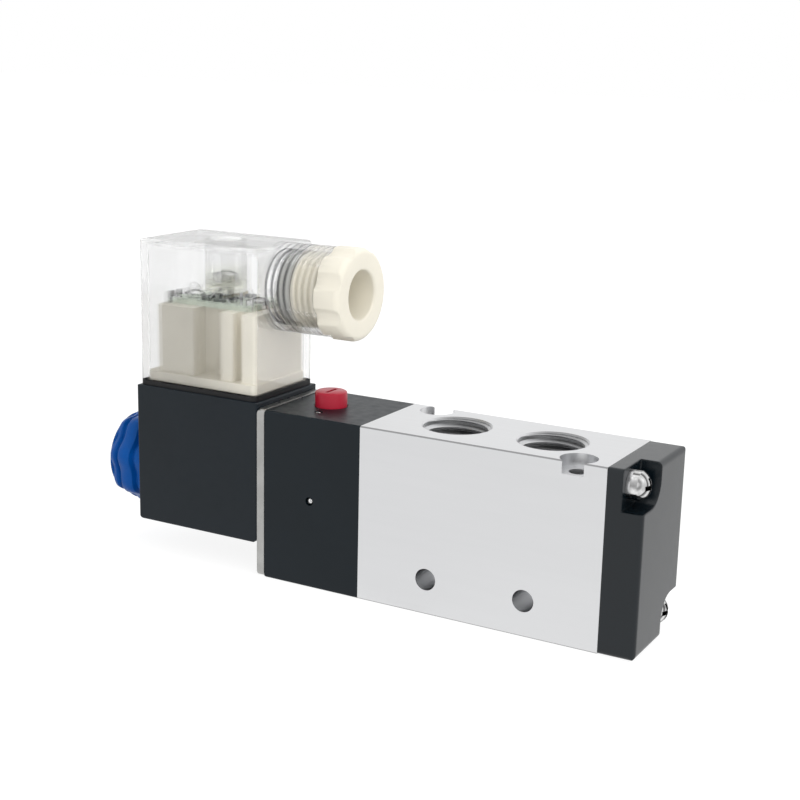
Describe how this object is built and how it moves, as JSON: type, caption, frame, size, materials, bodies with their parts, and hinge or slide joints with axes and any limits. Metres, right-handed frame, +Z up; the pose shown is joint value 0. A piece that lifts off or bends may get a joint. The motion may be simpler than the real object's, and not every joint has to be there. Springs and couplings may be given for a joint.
{
  "type": "pneumatic solenoid valve",
  "caption": "Slim five-port pneumatic solenoid valve with ported aluminium body, black end pieces, red override button, coil, blue nut and clear plug connector.",
  "frame": {"origin": "mouth of the supply port, in the middle of the aluminium body's underside", "axes": "+X along the valve from the coil to the end cap, +Y across it, +Z up through the outlet ports"},
  "size_m": [0.1211, 0.022, 0.0674],
  "materials": {
    "aluminium": "satin anodised",
    "black_plastic": "fine moulded grain",
    "cap_plastic": "smooth moulded",
    "coil_plastic": "moulded resin",
    "rubber": "matte",
    "gasket_rubber": "matte",
    "plated_steel": "zinc plated",
    "screw_steel": "bright plated",
    "spring_steel": "drawn wire",
    "spool_aluminium": "turned",
    "stainless": "turned",
    "brass": "turned",
    "piston_plastic": "moulded acetal",
    "red_plastic": "smooth moulded",
    "blue_plastic": "smooth moulded",
    "bobbin_plastic": "moulded",
    "copper": "enamelled wire",
    "tinned_brass": "tinned",
    "clear_plastic": "clear polished",
    "ivory_plastic": "moulded nylon",
    "cream_plastic": "moulded nylon",
    "board": "laminate",
    "led_lens": "water clear",
    "resistor": "lacquered",
    "grommet_rubber": "matte"
  },
  "bodies": {
    "valve": {"valve_body": "aluminium", "pilot_body": "black_plastic", "end_cap": "cap_plastic", "pilot_gasket": "rubber", "cap_gasket": "rubber", "cap_screws": "screw_steel", "cap_washers": "spring_steel", "pilot_screws": "screw_steel", "mounting_plate": "plated_steel", "ball_plugs": "screw_steel", "pilot_nozzle": "brass", "armature_tube": "stainless", "tube_seal": "rubber", "fixed_core": "stainless", "return_spring": "spring_steel", "armature_spring": "spring_steel", "override_spring": "spring_steel"},
    "spool": {"spool": "spool_aluminium", "spool_seals": "rubber"},
    "piston": {"piston": "piston_plastic", "piston_seal": "rubber"},
    "armature": {"armature": "stainless", "armature_seals": "rubber"},
    "override_stem": {"override_stem": "brass", "override_seals": "rubber"},
    "override_button": {"override_button": "red_plastic"},
    "coil": {"coil_case": "coil_plastic", "coil_bobbin": "bobbin_plastic", "coil_winding": "copper", "coil_yoke": "plated_steel", "terminal_blades": "tinned_brass", "screw_insert": "brass", "connector_gasket": "gasket_rubber", "connector_housing": "clear_plastic", "terminal_block": "ivory_plastic", "terminal_clips": "brass", "terminal_screws": "screw_steel", "indicator_board": "board", "indicator_led": "led_lens", "indicator_resistor": "resistor", "cover_screw": "screw_steel", "cover_screw_seal": "grommet_rubber", "gland_grommet": "grommet_rubber"},
    "gland_washer": {"gland_washer": "cream_plastic"},
    "gland_nut": {"gland_nut": "cream_plastic"},
    "coil_nut_seal": {"coil_nut_seal": "rubber"},
    "coil_nut": {"coil_nut": "blue_plastic"}
  },
  "joints": [
    {"name": "spool_slide", "type": "slide", "parent": "valve", "child": "spool", "axis": [1, 0, 0], "range_m": [0, 0.003], "stiffness_N_per_m": 600, "springref_m": -0.002, "deforming": ["return_spring"]},
    {"name": "piston_slide", "type": "slide", "parent": "valve", "child": "piston", "axis": [1, 0, 0], "range_m": [0, 0.003]},
    {"name": "armature_slide", "type": "slide", "parent": "valve", "child": "armature", "axis": [-1, 0, 0], "range_m": [0, 0.0008], "stiffness_N_per_m": 250, "springref_m": -0.002, "deforming": ["armature_spring"]},
    {"name": "override_push", "type": "slide", "parent": "valve", "child": "override_stem", "axis": [0, 0, -1], "range_m": [0, 0.002], "stiffness_N_per_m": 400, "springref_m": -0.001, "deforming": ["override_spring"]},
    {"name": "override_turn", "type": "hinge", "parent": "override_stem", "child": "override_button", "pos_m": [-0.0386, 0, 0.038], "axis": [0, 0, 1], "range_deg": [0, 90]},
    {"name": "coil_swivel", "type": "hinge", "parent": "valve", "child": "coil", "pos_m": [-0.0492, 0, 0.0175], "axis": [1, 0, 0], "range_deg": [-90, 90]},
    {"name": "gland_nut_travel", "type": "slide", "parent": "coil", "child": "gland_washer", "axis": [1, 0, 0], "range_m": [0, 0.005]},
    {"name": "gland_nut_turn", "type": "hinge", "parent": "gland_washer", "child": "gland_nut", "pos_m": [-0.0372, 0, 0.0581], "axis": [1, 0, 0], "range_deg": [0, 1200]},
    {"name": "coil_nut_travel", "type": "slide", "parent": "valve", "child": "coil_nut_seal", "axis": [-1, 0, 0], "range_m": [0, 0.006]},
    {"name": "coil_nut_turn", "type": "hinge", "parent": "coil_nut_seal", "child": "coil_nut", "pos_m": [-0.0794, 0, 0.0175], "axis": [-1, 0, 0], "range_deg": [0, 2160]}
  ],
  "couplings": [
    {"joint": "piston_slide", "follows": "spool_slide", "ratio": 1},
    {"joint": "gland_nut_turn", "follows": "gland_nut_travel", "rad_per_m": 4188.8},
    {"joint": "coil_nut_turn", "follows": "coil_nut_travel", "rad_per_m": 6283.2}
  ]
}
